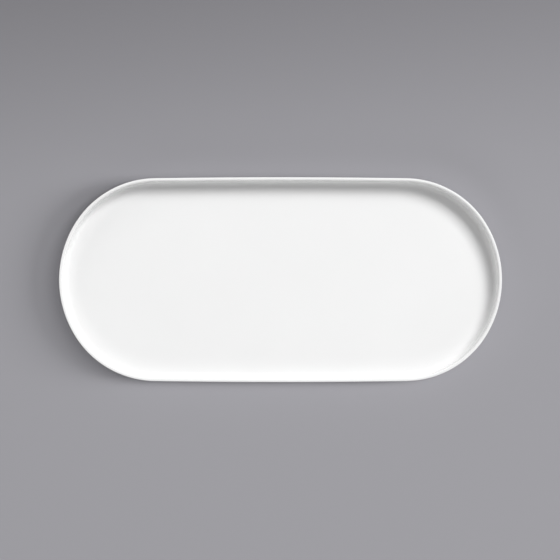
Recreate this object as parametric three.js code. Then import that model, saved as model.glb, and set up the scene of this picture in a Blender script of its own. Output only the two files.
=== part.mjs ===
// Oval serving platter: a racetrack plan, a low upright wall, a softened lip and a foot ring.
// It is one piece of white porcelain under two fields of glaze, which the bare foot ring parts.
// Millimetres, +Z up, +X along the platter, origin in the middle of the table under the foot.

import * as THREE from "three";

// Plan of the rim, as the glazed lip measures outside
const LENGTH = 330;
const WIDTH = 152.6;
const SIDE_BOW = 0.65; // rise of each long side at its middle, so it isn't dead straight
const TIP_EASE = 3.5; // the tips are rounded by this much more than half the width
const SHOULDER_EASE = 5.5; // the four shoulders are rounded by this much less

// Section of the wall, as glazed
const HEIGHT = 19;
const WALL = 2.3; // thickness of the wall under the lip
const LIP_INNER = 1.1; // radius of the lip's soft edge to the well
const LIP_OUTER = 0.55; // radius of its crisper edge outside
const WALL_LEAN = 4; // degrees out from upright, so that the piece leaves its mould
const BASE = 3.6; // thickness under the well
const COVE_RADIUS = 3.8; // turns the wall into the floor of the well
const HEEL_RADIUS = 7; // turns the wall into the level base outside

// Foot ring, as the bare porcelain measures where it is dry
const FOOT_HEIGHT = 2.6; // from the table to the glaze under the base
const FOOT_WIDTH = 3.6;
const FOOT_DRAFT = 15; // degrees, both flanks, wider at the top
const FOOT_EDGE = 0.5; // radius of the standing edges
const FOOT_FILLET = 1; // radius where the glazed flanks meet the base
const FOOT_SETBACK = 1.5; // level base between the end of the heel and the foot's fillet

// Glaze
const GLAZE = 0.35;
const GLAZE_BOND = 0.05; // clearance between the glaze and the porcelain that it is fired on
const DRY_FOOT = 0.9; // height of the foot that is wiped clean of glaze

// Fineness of the facets
const TIP_STEPS = 10;
const SHOULDER_STEPS = 10;
const SIDE_STEPS = 6;
const COVE_STEPS = 5;
const LIP_INNER_STEPS = 4;
const LIP_OUTER_STEPS = 3;
const HEEL_STEPS = 6;
const FILLET_STEPS = 2;
const EDGE_STEPS = 2;

const radians = THREE.MathUtils.degToRad;
const QUARTER = Math.PI / 2;

// A point at an angle and a distance from a centre
function polar(centre, distance, angle) {
  return new THREE.Vector2(centre.x + distance * Math.cos(angle), centre.y + distance * Math.sin(angle));
}

// The points of an arc, in steps, from one angle to another
function arc(centre, radius, from, to, steps) {
  return new THREE.ArcCurve(centre.x, centre.y, radius, from, to, to < from).getPoints(steps);
}

// Rim outline in plan: eight tangent arcs, as points that each carry their outward direction.
// A shoulder's circle touches the tip's and the side's from inside, which fixes its centre.
function rimOutline() {
  const halfWidth = WIDTH / 2;
  const sideReach = LENGTH / 2 - halfWidth;
  const tipRadius = halfWidth + TIP_EASE;
  const shoulderRadius = halfWidth - SHOULDER_EASE;
  const sideRadius = (sideReach ** 2 + SIDE_BOW ** 2) / (2 * SIDE_BOW);
  const tip = new THREE.Vector2(LENGTH / 2 - tipRadius, 0);
  const side = new THREE.Vector2(0, halfWidth - sideRadius);

  const toTip = tipRadius - shoulderRadius;
  const toSide = sideRadius - shoulderRadius;
  const span = tip.distanceTo(side);
  const along = (toTip ** 2 - toSide ** 2 + span ** 2) / (2 * span);
  const across = Math.sqrt(toTip ** 2 - along ** 2);
  const down = side.clone().sub(tip).normalize();
  const shoulder = tip.clone().addScaledVector(down, along);
  shoulder.addScaledVector(new THREE.Vector2(-down.y, down.x), across);
  const tipEnd = shoulder.clone().sub(tip).angle();
  const sideStart = shoulder.clone().sub(side).angle();

  const half = [
    { centre: tip, radius: tipRadius, from: -tipEnd, to: tipEnd, steps: TIP_STEPS },
    { centre: shoulder, radius: shoulderRadius, from: tipEnd, to: sideStart, steps: SHOULDER_STEPS },
    { centre: side, radius: sideRadius, from: sideStart, to: Math.PI - sideStart, steps: SIDE_STEPS },
    {
      centre: new THREE.Vector2(-shoulder.x, shoulder.y),
      radius: shoulderRadius,
      from: Math.PI - sideStart,
      to: Math.PI - tipEnd,
      steps: SHOULDER_STEPS,
    },
  ];
  const points = half.flatMap(({ centre, radius, from, to, steps }) =>
    Array.from({ length: steps }, (_, step) => {
      const angle = from + ((to - from) * step) / steps;
      return { place: polar(centre, radius, angle), outward: polar({ x: 0, y: 0 }, 1, angle) };
    }),
  );
  const opposite = points.map(({ place, outward }) => ({
    place: place.clone().negate(),
    outward: outward.clone().negate(),
  }));
  return [...points, ...opposite];
}

// The section is drawn in two numbers: x is how far in from the rim's outline, y the height.
// Every layer is the finished surface moved into the wall by a depth, so its arcs keep their centres.
const cover = GLAZE + GLAZE_BOND;
const floorLevel = FOOT_HEIGHT + BASE;
const lean = radians(WALL_LEAN);
const lipInner = new THREE.Vector2(WALL - LIP_INNER, HEIGHT - LIP_INNER); // centre of that edge
const lipOuter = new THREE.Vector2(LIP_OUTER, HEIGHT - LIP_OUTER);

// The arc that turns one side of the wall to a level, no larger than the wall above that level
function turn(wallTop, level, wanted) {
  const rise = wallTop.y - level;
  const radius = Math.min(wanted, rise / (1 - Math.sin(lean)));
  const straight = rise - radius * (1 - Math.sin(lean));
  const inset = wallTop.x + straight * Math.tan(lean) + radius * Math.cos(lean);
  return { centre: new THREE.Vector2(inset, level + radius), radius };
}

const cove = turn(polar(lipInner, LIP_INNER, lean), floorLevel, COVE_RADIUS);
const heel = turn(polar(lipOuter, LIP_OUTER, Math.PI + lean), FOOT_HEIGHT, HEEL_RADIUS);

// From the floor of the well, up the wall, over the lip and down outside to the level base
function wallSection(depth) {
  const wall = Math.PI + lean;
  const level = 3 * QUARTER;
  return [
    ...arc(cove.centre, cove.radius + depth, level, wall, COVE_STEPS),
    ...arc(lipInner, LIP_INNER - depth, lean, QUARTER, LIP_INNER_STEPS),
    ...arc(lipOuter, LIP_OUTER - depth, QUARTER, Math.PI, LIP_OUTER_STEPS),
    ...arc(heel.centre, heel.radius - depth, wall, level, HEEL_STEPS),
  ];
}

// Foot ring: its flanks lean by the draft, and the bare flank runs down to a corner on the table
const draft = radians(FOOT_DRAFT);
const filletCentre = new THREE.Vector2(heel.centre.x + FOOT_SETBACK, FOOT_HEIGHT - FOOT_FILLET);
const flankTop = polar(filletCentre, FOOT_FILLET + cover, draft);
const footCorner = flankTop.x + flankTop.y * Math.tan(draft);
const footMiddle = footCorner + FOOT_WIDTH / 2;

// From the level base round the fillet on to the foot's outer flank
function filletSection(depth) {
  return arc(filletCentre, FOOT_FILLET + depth, QUARTER, draft, FILLET_STEPS);
}

// The end of the glaze on the flank, cut square to it
function glazeLine(depth) {
  const bare = new THREE.Vector2(footCorner - DRY_FOOT * Math.tan(draft), DRY_FOOT);
  return polar(bare, depth - cover, draft);
}

// The rounded standing edge, from the flank on to the table
function standingEdge() {
  const flankHeight = FOOT_EDGE * (1 - Math.sin(draft));
  const flank = new THREE.Vector2(footCorner - flankHeight * Math.tan(draft), flankHeight);
  const centre = polar(flank, FOOT_EDGE, draft);
  return arc(centre, FOOT_EDGE, Math.PI + draft, 3 * QUARTER, EDGE_STEPS);
}

// The same points on the foot's inner side, in the order that leads from the table to the middle
function innerFlank(points) {
  return points.map(({ x, y }) => new THREE.Vector2(2 * footMiddle - x, y)).reverse();
}

const rim = rimOutline();

// Carries a section round the rim as one closed body. The section runs from the middle of the
// body's upper side, out, round and back to the middle of its lower side.
function loft(section) {
  const count = rim.length;
  const top = section.length * count;
  const bottom = top + 1;
  const positions = section.flatMap(({ x: inset, y: height }) =>
    rim.flatMap(({ place, outward }) => [
      place.x - inset * outward.x,
      place.y - inset * outward.y,
      height,
    ]),
  );
  positions.push(0, 0, section[0].y, 0, 0, section.at(-1).y);

  const triangles = [];
  for (let i = 0; i < count; i += 1) {
    const next = (i + 1) % count;
    triangles.push(top, i, next);
    for (let ring = 0; ring < section.length - 1; ring += 1) {
      const here = ring * count;
      const there = here + count;
      triangles.push(here + i, there + i, there + next);
      triangles.push(here + i, there + next, here + next);
    }
    const last = top - count;
    triangles.push(bottom, last + next, last + i);
  }
  const geometry = new THREE.BufferGeometry();
  geometry.setAttribute("position", new THREE.Float32BufferAttribute(positions, 3));
  geometry.setIndex(triangles);
  geometry.computeVertexNormals();
  return geometry;
}

// Fired porcelain: wall, base and foot ring in one
function porcelainBody() {
  const flank = [...filletSection(cover), ...standingEdge()];
  return loft([...wallSection(cover), ...flank, ...innerFlank(flank)]);
}

// Glaze of the well, the lip and the outside, down to the dry foot
function glazeFace() {
  const layer = (depth) => [...wallSection(depth), ...filletSection(depth), glazeLine(depth)];
  return loft([...layer(0), ...layer(GLAZE).reverse()]);
}

// Glaze of the recess inside the foot ring
function glazeUnderside() {
  const layer = (depth) => innerFlank([...filletSection(depth), glazeLine(depth)]);
  return loft([...layer(GLAZE).reverse(), ...layer(0)]);
}

const porcelain = new THREE.MeshStandardMaterial({ color: "#efece4", roughness: 0.6, metalness: 0 });
const glaze = new THREE.MeshStandardMaterial({ color: "#f4f4f4", roughness: 0.3, metalness: 0 });
const baseGlaze = glaze.clone();

function piece(name, geometry, material) {
  const mesh = new THREE.Mesh(geometry, material);
  mesh.name = name;
  return mesh;
}

const platter = new THREE.Group();
platter.add(piece("porcelain_body", porcelainBody(), porcelain));
platter.add(piece("glaze_face", glazeFace(), glaze));
platter.add(piece("glaze_underside", glazeUnderside(), baseGlaze));

export default platter;
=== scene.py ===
"""Oval serving platter: white porcelain under gloss glaze, with a bare foot ring."""

import math
from collections import namedtuple

import bpy
from mathutils import Color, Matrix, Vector


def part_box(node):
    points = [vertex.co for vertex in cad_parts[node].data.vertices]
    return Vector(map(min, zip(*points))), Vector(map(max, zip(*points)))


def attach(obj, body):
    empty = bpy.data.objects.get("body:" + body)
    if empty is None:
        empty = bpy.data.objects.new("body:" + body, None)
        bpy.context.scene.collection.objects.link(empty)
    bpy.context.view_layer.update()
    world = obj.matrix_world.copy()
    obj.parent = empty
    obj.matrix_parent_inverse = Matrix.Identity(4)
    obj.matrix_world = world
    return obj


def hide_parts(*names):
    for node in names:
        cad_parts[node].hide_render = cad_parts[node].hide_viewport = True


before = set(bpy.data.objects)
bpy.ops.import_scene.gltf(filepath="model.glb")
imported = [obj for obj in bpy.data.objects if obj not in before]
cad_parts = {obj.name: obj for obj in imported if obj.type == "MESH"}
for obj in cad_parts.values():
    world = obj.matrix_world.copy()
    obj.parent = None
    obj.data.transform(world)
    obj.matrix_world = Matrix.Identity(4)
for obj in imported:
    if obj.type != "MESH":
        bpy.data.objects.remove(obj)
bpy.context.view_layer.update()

MM = 0.001

# Sizes of the platter over its glaze, from the frame
face_low, face_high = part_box("glaze_face")
LENGTH = face_high.x - face_low.x
WIDTH = face_high.y - face_low.y
HEIGHT = face_high.z

# Plan of the rim
SIDE_BOW = 0.65 * MM
TIP_EASE = 3.5 * MM
SHOULDER_EASE = 5.5 * MM

# Section of the wall, as glazed
WALL = 2.3 * MM
LIP_INNER = 1.1 * MM
LIP_OUTER = 0.55 * MM
WALL_LEAN = math.radians(4)
BASE = 3.6 * MM
COVE_RADIUS = 3.8 * MM
HEEL_RADIUS = 7 * MM

# Foot ring, as the bare porcelain measures
FOOT_HEIGHT = 2.6 * MM
FOOT_WIDTH = 3.6 * MM
FOOT_DRAFT = math.radians(15)
FOOT_EDGE = 0.5 * MM
FOOT_FILLET = 1 * MM
FOOT_SETBACK = 1.5 * MM

# Glaze
GLAZE = 0.35 * MM
GLAZE_BOND = 0.05 * MM
DRY_FOOT = 0.9 * MM

# Steps of the arcs, round the plan and across the section
TIP_STEPS = 14
SHOULDER_STEPS = 28
SIDE_STEPS = 10
COVE_STEPS = 16
LIP_INNER_STEPS = 14
LIP_OUTER_STEPS = 10
HEEL_STEPS = 16
FILLET_STEPS = 6
BEAD_STEPS = 6
EDGE_STEPS = 4

# Short ends of each straight and level bands round each floor keep an arc's shading off them
HOLD = 0.3 * MM
HOLD_SHARE = 1 / 3  # the most of a straight that one short end takes
FLOOR_BANDS = (0.6 * MM, 6 * MM)

SMOOTH_ANGLE = math.radians(40)  # sharper edges stay sharp
TOUCH = GLAZE_BOND / 10  # points nearer than this are one point

CERAMIC_IOR = 1.5

# White gloss glaze: its white and its roughness change in wide clouds, and its face has a slow
# roll and a fine peel. A pattern has its spacing and detail, and a lift its strength and height.
GLAZE_DULL = "#f2f2f2"
GLAZE_BRIGHT = "#f5f5f5"
GLAZE_ROUGHNESS = {"To Min": 0.16, "To Max": 0.22}
CLOUDS = {"Scale": 1 / (60 * MM), "Detail": 2}
ROLL = {"Scale": 1 / (18 * MM), "Detail": 1}
ROLL_LIFT = {"Strength": 0.08, "Distance": 0.2 * MM}
PEEL = {"Scale": 1 / (2.4 * MM), "Detail": 1}
PEEL_LIFT = {"Strength": 0.05, "Distance": 0.02 * MM}

# Bare porcelain: its white where clean and where rubbed, the patches that are rubbed, and its
# grain, which is about 0.05 mm on a real foot and is drawn coarser so that it shows
BARE_CLEAN = "#ece7dc"
BARE_RUBBED = "#d8d2c7"
BARE_ROUGHNESS = {"To Min": 0.6, "To Max": 0.8}
RUBS = {"Scale": 1 / (9 * MM), "Detail": 4}
GRAIN = {"Scale": 1 / (0.7 * MM), "Detail": 3}
GRAIN_LIFT = {"Strength": 0.3, "Distance": 0.05 * MM}

# The paper floor, with painted shade that darkens it to the back as in the photograph, as light
# falling off would: its size in metres, its grey, its painted shade's grey and its face, and
# where the painted shade starts from the platter's middle, how far it takes and its compass
# angle from +X
FLOOR_SIZE = 8
PAPER_NEAR = "#a2a1a6"
PAPER_PAINTED_SHADE = "#7b7a7e"
PAPER_FACE = {"Roughness": 0.9, "Specular IOR Level": 0.1}
FADE_START = 20 * MM
FADE_LENGTH = 302 * MM
FADE_TURN = math.radians(96)

# The photograph in pixels: its size, the middle of the platter and the platter's length
IMAGE_SIZE = 560
MIDDLE_PIXEL = (280.5, 279.7)
LENGTH_PIXELS = 443

# The camera, straight above: its height in metres and its sensor's width in millimetres
CAMERA_HEIGHT = 2.2
SENSOR = 36

# A soft lamp: compass angle from +X and angle above the floor in degrees, distance, width and
# height in metres, power in watts, and what it lights: the platter's body colour, the gloss of
# its glaze, or the floor. The photograph shows no highlight, so the gloss mirrors one weak lamp
# and not the strong ones.
Lamp = namedtuple("Lamp", "name azimuth elevation distance width height power lights")
LAMPS = (
    Lamp("key_softbox", 45, 43, 5, 2.65, 1.8, 252, "body"),
    Lamp("left_card", 140, 20, 2, 2.4, 1.2, 14, "body"),
    Lamp("corner_card", 222, 20, 2, 2.4, 1.2, 9.8, "body"),
    Lamp("near_card", 308, 20, 2, 2.4, 1.2, 10.2, "body"),
    Lamp("gloss_softbox", 45, 43, 5, 2.65, 1.8, 30, "gloss"),
    Lamp("floor_right_low", 2, 29, 8, 2, 4.4, 402, "floor"),
    Lamp("floor_right_high", 15, 63, 8, 2, 4, 164, "floor"),
    Lamp("floor_overhead", 40, 87, 8, 2, 1, 129, "floor"),
    Lamp("floor_near", 240, 29, 8, 8, 3, 125, "floor"),
)

# Light from all round
AIR_COLOUR = "#ffffff"
AIR_STRENGTH = 0.15

# A section is drawn as (inset from the rim's outline, height), so angles turn from inwards to up
Arc = namedtuple("Arc", "centre radius start end steps")
UP = math.pi / 2
OUT = math.pi
DOWN = 3 * UP


def polar(centre, distance, angle):
    """The point at a distance and an angle from a centre."""
    x, y = centre
    return Vector((x + distance * math.cos(angle), y + distance * math.sin(angle)))


# Centres of the section's arcs, which every layer of the wall shares
cover = GLAZE + GLAZE_BOND
floor_level = FOOT_HEIGHT + BASE
lip_inner = Vector((WALL - LIP_INNER, HEIGHT - LIP_INNER))
lip_outer = Vector((LIP_OUTER, HEIGHT - LIP_OUTER))


def turn_centre(wall_top, level, radius):
    """Centre of the arc that turns one side of the wall to a level."""
    straight = wall_top.y - level - radius * (1 - math.sin(WALL_LEAN))
    inset = wall_top.x + straight * math.tan(WALL_LEAN) + radius * math.cos(WALL_LEAN)
    return Vector((inset, level + radius))


inner_top = polar(lip_inner, LIP_INNER, WALL_LEAN)
outer_top = polar(lip_outer, LIP_OUTER, OUT + WALL_LEAN)
cove_centre = turn_centre(inner_top, floor_level, COVE_RADIUS)
heel_centre = turn_centre(outer_top, FOOT_HEIGHT, HEEL_RADIUS)
fillet_centre = Vector((heel_centre.x + FOOT_SETBACK, FOOT_HEIGHT - FOOT_FILLET))

# The foot's outer flank, carried down to a corner on the table
flank_top = polar(fillet_centre, FOOT_FILLET + cover, FOOT_DRAFT)
foot_corner = flank_top.x + flank_top.y * math.tan(FOOT_DRAFT)
foot_middle = foot_corner + FOOT_WIDTH / 2


def wall_arcs(depth):
    """From the floor of the well, up the wall, over the lip and down outside, at a depth."""
    wall = OUT + WALL_LEAN
    return [
        Arc(cove_centre, COVE_RADIUS + depth, DOWN, wall, COVE_STEPS),
        Arc(lip_inner, LIP_INNER - depth, WALL_LEAN, UP, LIP_INNER_STEPS),
        Arc(lip_outer, LIP_OUTER - depth, UP, wall, LIP_OUTER_STEPS),
        Arc(heel_centre, HEEL_RADIUS - depth, wall, DOWN, HEEL_STEPS),
    ]


def fillet_arc(depth):
    """From the level base on to the foot's outer flank, at a depth."""
    return Arc(fillet_centre, FOOT_FILLET + depth, UP, FOOT_DRAFT, FILLET_STEPS)


def glaze_bead():
    """The rolled end of the glaze on the foot's outer flank, from its face to the porcelain."""
    bare = Vector((foot_corner - DRY_FOOT * math.tan(FOOT_DRAFT), DRY_FOOT))
    middle = polar(bare, GLAZE / 2 - cover, FOOT_DRAFT)
    raised = polar(middle, GLAZE / 2, UP + FOOT_DRAFT)
    return Arc(raised, GLAZE / 2, OUT + FOOT_DRAFT, 2 * math.pi + FOOT_DRAFT, BEAD_STEPS)


def standing_edge():
    """The rounded edge of the foot, from its outer flank on to the table."""
    flank_height = FOOT_EDGE * (1 - math.sin(FOOT_DRAFT))
    flank = (foot_corner - flank_height * math.tan(FOOT_DRAFT), flank_height)
    centre = polar(flank, FOOT_EDGE, FOOT_DRAFT)
    return Arc(centre, FOOT_EDGE, OUT + FOOT_DRAFT, DOWN, EDGE_STEPS)


def backwards(arcs):
    """The same arcs, drawn the other way."""
    return [Arc(a.centre, a.radius, a.end, a.start, a.steps) for a in reversed(arcs)]


def inner_side(arcs):
    """The same arcs on the foot's inner side, drawn the other way."""
    turned = []
    for a in arcs:
        across = Vector((2 * foot_middle - a.centre.x, a.centre.y))
        turned.append(Arc(across, a.radius, math.pi - a.start, math.pi - a.end, a.steps))
    return backwards(turned)


def plan_turns():
    """A quarter of the rim's plan, from a tip to a side: each arc's centre, angle and steps."""
    side_reach = (LENGTH - WIDTH) / 2
    tip_radius = WIDTH / 2 + TIP_EASE
    shoulder_radius = WIDTH / 2 - SHOULDER_EASE
    side_radius = (side_reach**2 + SIDE_BOW**2) / (2 * SIDE_BOW)
    tip = Vector((LENGTH / 2 - tip_radius, 0))
    side = Vector((0, WIDTH / 2 - side_radius))

    # The shoulder's circle touches the tip's and the side's from inside, which fixes its centre
    to_tip = tip_radius - shoulder_radius
    to_side = side_radius - shoulder_radius
    span = (side - tip).length
    along = (to_tip**2 - to_side**2 + span**2) / (2 * span)
    across = math.sqrt(to_tip**2 - along**2)
    down = (side - tip) / span
    shoulder = tip + down * along + Vector((-down.y, down.x)) * across
    tip_end = math.atan2(shoulder.y - tip.y, shoulder.x - tip.x)
    side_start = math.atan2(shoulder.y - side.y, shoulder.x - side.x)
    return [
        (tip, tip_end, TIP_STEPS),
        (shoulder, side_start - tip_end, SHOULDER_STEPS),
        (side, math.pi / 2 - side_start, SIDE_STEPS),
    ]


def at_tip(point):
    """A point of the section, stood up at the platter's tip."""
    return Vector((LENGTH / 2 - point[0], 0, point[1]))


def draw_straight(start, end):
    """Extrudes a straight of the section, with a short piece at each end."""
    whole = at_tip(end) - at_tip(start)
    short = whole * min(HOLD / whole.length, HOLD_SHARE)
    for part in (short, whole - 2 * short, short):
        bpy.ops.mesh.extrude_region_move(TRANSFORM_OT_translate={"value": part})


def draw_section(name, arcs):
    """A section as one line of edges at the tip, its arcs spun and its straights extruded."""
    bpy.ops.object.select_all(action="DESELECT")
    bpy.ops.mesh.primitive_plane_add(size=WALL)
    piece = bpy.context.object
    piece.name = name
    bpy.ops.object.mode_set(mode="EDIT")
    # The plane shrinks to one point, which draws the line
    bpy.ops.mesh.merge(type="CENTER")
    pen = polar(arcs[0].centre, arcs[0].radius, arcs[0].start)
    bpy.ops.transform.translate(value=at_tip(pen))
    for arc in arcs:
        start = polar(arc.centre, arc.radius, arc.start)
        if (start - pen).length > TOUCH:
            draw_straight(pen, start)
        # Spin turns left-handed about its axis, so the axis points the other way
        bpy.ops.mesh.spin(
            steps=arc.steps,
            angle=arc.end - arc.start,
            center=at_tip(arc.centre),
            axis=(0, -1, 0),
        )
        pen = polar(arc.centre, arc.radius, arc.end)
    return piece


def sweep_round(piece):
    """Spins the section along a quarter of the plan, mirrors that twice and fills the floors."""
    bpy.ops.mesh.select_all(action="SELECT")
    for centre, angle, steps in plan_turns():
        bpy.ops.mesh.spin(steps=steps, angle=angle, center=centre.to_3d(), axis=(0, 0, -1))
    bpy.ops.object.mode_set(mode="OBJECT")
    bpy.ops.object.modifier_add(type="MIRROR")
    mirror = piece.modifiers[-1]
    mirror.use_axis = (True, True, False)
    mirror.merge_threshold = TOUCH
    bpy.ops.object.modifier_apply(modifier=mirror.name)

    bpy.ops.object.mode_set(mode="EDIT")
    bpy.ops.mesh.select_all(action="SELECT")
    bpy.ops.mesh.fill_holes(sides=0)
    # The filled floors are the only faces with more than four sides
    bpy.ops.mesh.select_all(action="DESELECT")
    bpy.ops.mesh.select_face_by_sides(number=4, type="GREATER")
    for band in FLOOR_BANDS:
        bpy.ops.mesh.inset(thickness=band)
    bpy.ops.mesh.select_all(action="SELECT")
    bpy.ops.mesh.normals_make_consistent(inside=False)
    bpy.ops.object.mode_set(mode="OBJECT")
    bpy.ops.object.shade_smooth_by_angle(angle=SMOOTH_ANGLE)
    return piece


def porcelain_body():
    """Wall, base and foot ring under the glaze; only the dry foot shows."""
    flank = [fillet_arc(cover), standing_edge()]
    line = wall_arcs(cover) + flank + inner_side(flank)
    return sweep_round(draw_section("platter_porcelain", line))


def face_glaze():
    """Glaze of the well, the lip and the outside, with a rolled end above the dry foot."""
    out = wall_arcs(0) + [fillet_arc(0)]
    back = backwards(wall_arcs(GLAZE) + [fillet_arc(GLAZE)])
    return sweep_round(draw_section("platter_face_glaze", out + [glaze_bead()] + back))


def underside_glaze():
    """Glaze of the recess inside the foot ring, with a rolled end above the dry foot."""
    out = backwards(inner_side([fillet_arc(GLAZE)]))
    bead = inner_side([glaze_bead()])
    back = inner_side([fillet_arc(0)])
    return sweep_round(draw_section("platter_underside_glaze", out + bead + back))


def linear(code):
    """An sRGB hex colour as linear red, green, blue and alpha."""
    parts = [int(code[i : i + 2], 16) / 255 for i in (1, 3, 5)]
    return [*Color(parts).from_srgb_to_scene_linear(), 1]


def add_node(tree, kind, inputs=None, **settings):
    """Adds a node with its settings; an input that is given a socket is linked to it."""
    made = tree.nodes.new(kind)
    for name, value in settings.items():
        setattr(made, name, value)
    for name, value in (inputs or {}).items():
        if isinstance(value, bpy.types.NodeSocket):
            tree.links.new(value, made.inputs[name])
        else:
            made.inputs[name].default_value = value
    return made


def new_material(name):
    """A material, its node tree, the place that its patterns read, and its output."""
    material = bpy.data.materials.new(name)
    material.use_nodes = True
    tree = material.node_tree
    tree.nodes.clear()
    place = add_node(tree, "ShaderNodeTexCoord").outputs["Object"]
    return material, tree, place, add_node(tree, "ShaderNodeOutputMaterial")


def gloss_glaze():
    """White gloss glaze fired on porcelain: an even neutral white with a soft, rolling sheen."""
    material, tree, place, output = new_material("white_gloss_glaze")
    clouds = add_node(tree, "ShaderNodeTexNoise", {"Vector": place, **CLOUDS})
    roll = add_node(tree, "ShaderNodeTexNoise", {"Vector": place, **ROLL})
    peel = add_node(tree, "ShaderNodeTexNoise", {"Vector": place, **PEEL})
    white = add_node(
        tree,
        "ShaderNodeMix",
        {"Factor": clouds.outputs["Fac"], "A": linear(GLAZE_DULL), "B": linear(GLAZE_BRIGHT)},
        data_type="RGBA",
    )
    sheen = add_node(
        tree,
        "ShaderNodeMapRange",
        {"Value": clouds.outputs["Fac"], **GLAZE_ROUGHNESS},
    )
    rolled = add_node(tree, "ShaderNodeBump", {"Height": roll.outputs["Fac"], **ROLL_LIFT})
    dimpled = add_node(
        tree,
        "ShaderNodeBump",
        {"Height": peel.outputs["Fac"], "Normal": rolled.outputs["Normal"], **PEEL_LIFT},
    )
    gloss = add_node(
        tree,
        "ShaderNodeBsdfPrincipled",
        {
            "Base Color": white.outputs["Result"],
            "Roughness": sheen.outputs["Result"],
            "IOR": CERAMIC_IOR,
            "Normal": dimpled.outputs["Normal"],
        },
    )
    tree.links.new(gloss.outputs["BSDF"], output.inputs["Surface"])
    return material


def bare_porcelain():
    """Unglazed porcelain of the wiped foot: warm white, dry, fine-grained and rubbed a little."""
    material, tree, place, output = new_material("bare_porcelain")
    rubs = add_node(tree, "ShaderNodeTexNoise", {"Vector": place, **RUBS})
    grain = add_node(tree, "ShaderNodeTexNoise", {"Vector": place, **GRAIN})
    white = add_node(
        tree,
        "ShaderNodeMix",
        {"Factor": rubs.outputs["Fac"], "A": linear(BARE_CLEAN), "B": linear(BARE_RUBBED)},
        data_type="RGBA",
    )
    rough = add_node(
        tree,
        "ShaderNodeMapRange",
        {"Value": grain.outputs["Fac"], **BARE_ROUGHNESS},
    )
    grit = add_node(tree, "ShaderNodeBump", {"Height": grain.outputs["Fac"], **GRAIN_LIFT})
    dry = add_node(
        tree,
        "ShaderNodeBsdfPrincipled",
        {
            "Base Color": white.outputs["Result"],
            "Roughness": rough.outputs["Result"],
            "IOR": CERAMIC_IOR,
            "Normal": grit.outputs["Normal"],
        },
    )
    tree.links.new(dry.outputs["BSDF"], output.inputs["Surface"])
    return material


def grey_paper():
    """Matt grey paper under the platter, with painted shade that darkens it to the back."""
    material, tree, place, output = new_material("matt_grey_paper_painted_shade")
    across = add_node(
        tree,
        "ShaderNodeMapping",
        {
            "Vector": place,
            "Location": polar((0, 0), FADE_START, FADE_TURN).to_3d(),
            "Rotation": (0, 0, FADE_TURN),
            "Scale": (FADE_LENGTH, 1, 1),
        },
        vector_type="TEXTURE",
    )
    # Painted shade: a gradient that darkens the paper's grey towards the back, as light falling
    # off would
    painted_shade = add_node(
        tree,
        "ShaderNodeTexGradient",
        {"Vector": across.outputs["Vector"]},
        gradient_type="EASING",
    )
    grey = add_node(
        tree,
        "ShaderNodeMix",
        {"Factor": painted_shade.outputs["Fac"], "A": linear(PAPER_NEAR), "B": linear(PAPER_PAINTED_SHADE)},
        data_type="RGBA",
    )
    paper = add_node(
        tree,
        "ShaderNodeBsdfPrincipled",
        {"Base Color": grey.outputs["Result"], **PAPER_FACE},
    )
    tree.links.new(paper.outputs["BSDF"], output.inputs["Surface"])
    return material


def studio_floor():
    """The floor, which takes the platter's shadow."""
    bpy.ops.object.select_all(action="DESELECT")
    bpy.ops.mesh.primitive_plane_add(size=FLOOR_SIZE)
    floor = bpy.context.object
    floor.name = "studio_floor"
    floor.data.materials.append(grey_paper())
    return floor


def light_studio(floor):
    """Lights the platter and the floor apart.

    A wide softbox from the upper right and three weak cards light the platter, a weak softbox
    gives its gloss, and a little light comes from all round. In the photograph the platter's
    shadow falls to the left, while the wall shades the well from the upper right, so the floor
    has lamps of its own.
    """
    for lamp in LAMPS:
        light = bpy.data.lights.new(lamp.name, "AREA")
        light.shape = "RECTANGLE"
        light.size = lamp.width
        light.size_y = lamp.height
        light.energy = lamp.power
        stand = bpy.data.objects.new(lamp.name, light)
        bpy.context.scene.collection.objects.link(stand)
        turn = math.radians(lamp.azimuth)
        rise = math.radians(lamp.elevation)
        level = math.cos(rise)
        away = Vector((math.cos(turn) * level, math.sin(turn) * level, math.sin(rise)))
        stand.location = away * lamp.distance
        stand.rotation_mode = "QUATERNION"
        stand.rotation_quaternion = away.to_track_quat("Z", "Y")
        aim = bpy.data.collections.new(lamp.name)
        aim.objects.link(floor)
        link = aim.collection_objects[0].light_linking
        link.link_state = "INCLUDE" if lamp.lights == "floor" else "EXCLUDE"
        stand.light_linking.receiver_collection = aim
        stand.visible_diffuse = lamp.lights != "gloss"
        stand.visible_glossy = lamp.lights != "body"
    world = bpy.data.worlds.new("studio_air")
    world.use_nodes = True
    air = world.node_tree.nodes["Background"]
    air.inputs["Color"].default_value = linear(AIR_COLOUR)
    air.inputs["Strength"].default_value = AIR_STRENGTH
    bpy.context.scene.world = world


def place_camera():
    """A long lens straight above, framed as the photograph is."""
    camera = bpy.data.cameras.new("camera")
    stand = bpy.data.objects.new("camera", camera)
    bpy.context.scene.collection.objects.link(stand)
    pixel = LENGTH / LENGTH_PIXELS
    camera.sensor_fit = "HORIZONTAL"
    camera.sensor_width = SENSOR
    camera.lens = SENSOR * (CAMERA_HEIGHT - HEIGHT) / (pixel * IMAGE_SIZE)
    aside = (IMAGE_SIZE / 2 - MIDDLE_PIXEL[0]) * pixel
    below = (MIDDLE_PIXEL[1] - IMAGE_SIZE / 2) * pixel
    stand.location = (aside, below, CAMERA_HEIGHT)
    bpy.context.scene.camera = stand


place_camera()
light_studio(studio_floor())

glaze = gloss_glaze()
porcelain = bare_porcelain()
for build, node, slot, material in (
    (porcelain_body, "porcelain_body", "porcelain", porcelain),
    (face_glaze, "glaze_face", "glaze", glaze),
    (underside_glaze, "glaze_underside", "glaze", glaze),
):
    piece = build()
    piece.data.materials.append(material)
    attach(piece, "root")
    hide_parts(node)

bpy.context.scene.view_settings.view_transform = "Standard"
